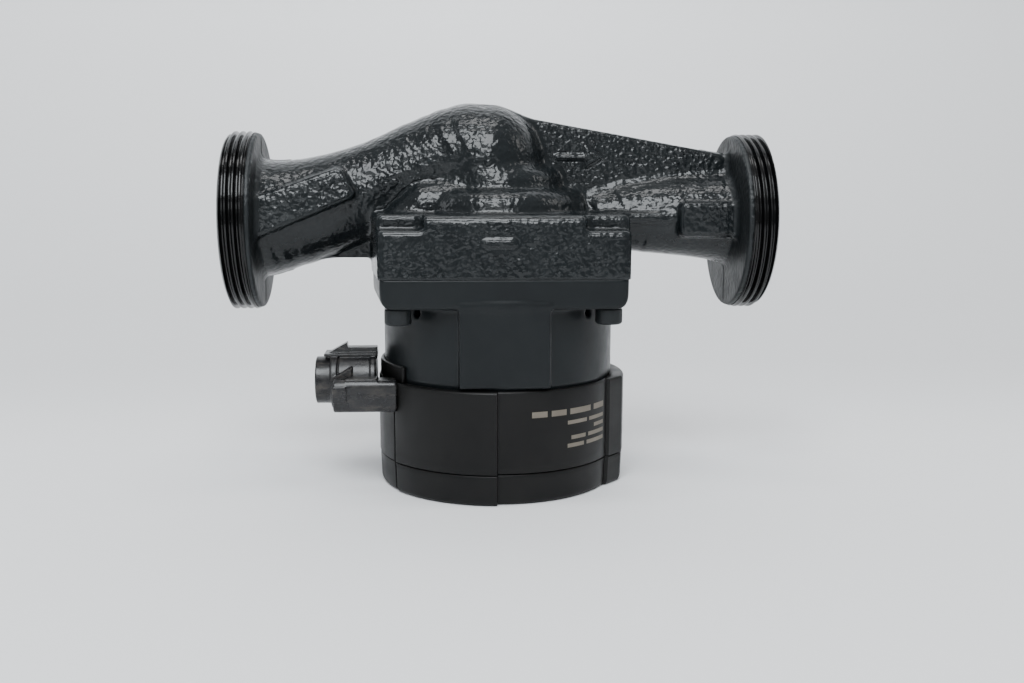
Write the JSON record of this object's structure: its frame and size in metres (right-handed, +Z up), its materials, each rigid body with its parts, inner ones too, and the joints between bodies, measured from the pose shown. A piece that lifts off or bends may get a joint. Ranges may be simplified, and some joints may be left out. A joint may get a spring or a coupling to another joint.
{
  "type": "circulator pump",
  "caption": "In-line wet-rotor circulator: dark cast housing with threaded ports, painted motor shell and round black control box with side inlets.",
  "frame": {"origin": "on the motor axis, at the face of the control box that the pump stands on", "axes": "+Z up along the motor axis towards the suction elbow, +X along the port axis towards the outlet, -Y towards the front with the cast pads"},
  "size_m": [0.18, 0.0836, 0.1289],
  "materials": {
    "casting": "glossy leathery paint",
    "motor_paint": "satin paint",
    "steel": "satin",
    "shaft_steel": "ground",
    "rubber": "matte",
    "ceramic": "polished ceramic",
    "graphite": "matte",
    "impeller_plastic": "moulded",
    "lamination": "stacked sheets",
    "magnet": "nickel plated",
    "copper": "enamelled wire",
    "screw": "black coated",
    "box_plastic": "fine texture",
    "connector_plastic": "moulded",
    "contact": "plated",
    "board": "solder mask",
    "chip": "moulded",
    "thermal": "matte",
    "capacitor": "sleeved can",
    "button": "satin",
    "plunger": "moulded",
    "led": "moulded",
    "lens": "frosted"
  },
  "bodies": {
    "pump": {"pump_housing": "casting", "wear_ring": "steel", "housing_gasket": "rubber", "bearing_plate": "steel", "upper_bearing": "ceramic", "bearing_cushion": "rubber", "lower_bearing": "ceramic", "rotor_can": "steel", "can_seal": "rubber", "stator_core": "lamination", "stator_insulators": "impeller_plastic", "stator_coils": "copper", "motor_housing": "motor_paint", "flange_screws": "screw", "control_box": "box_plastic", "box_screws": "steel", "control_cover": "box_plastic", "cover_gasket": "rubber", "circuit_board": "board", "phase_pins": "contact", "thermal_pad": "thermal", "power_module": "chip", "storage_capacitors": "capacitor", "line_choke": "copper", "mode_switch": "chip", "status_leds": "led", "light_guide": "lens", "face_panel": "button", "power_inlet": "connector_plastic", "power_contacts": "contact", "signal_inlet": "connector_plastic", "signal_contacts": "contact"},
    "rotor": {"rotor_shaft": "shaft_steel", "rotor_core": "lamination", "rotor_magnets": "magnet", "rotor_sleeve": "steel", "thrust_ring": "graphite", "impeller": "impeller_plastic", "impeller_front_shroud": "impeller_plastic", "impeller_lock_ring": "steel"},
    "button": {"mode_button": "button", "switch_plunger": "plunger"}
  },
  "joints": [
    {"name": "rotor_spin", "type": "hinge", "parent": "pump", "child": "rotor", "pos_m": [0, 0, 0.055], "axis": [0, 0, 1], "continuous": true},
    {"name": "mode_button_press", "type": "slide", "parent": "pump", "child": "button", "axis": [0, 0, 1], "range_m": [0, 0.0008], "stiffness_N_per_m": 600, "springref_m": -0.0008}
  ]
}
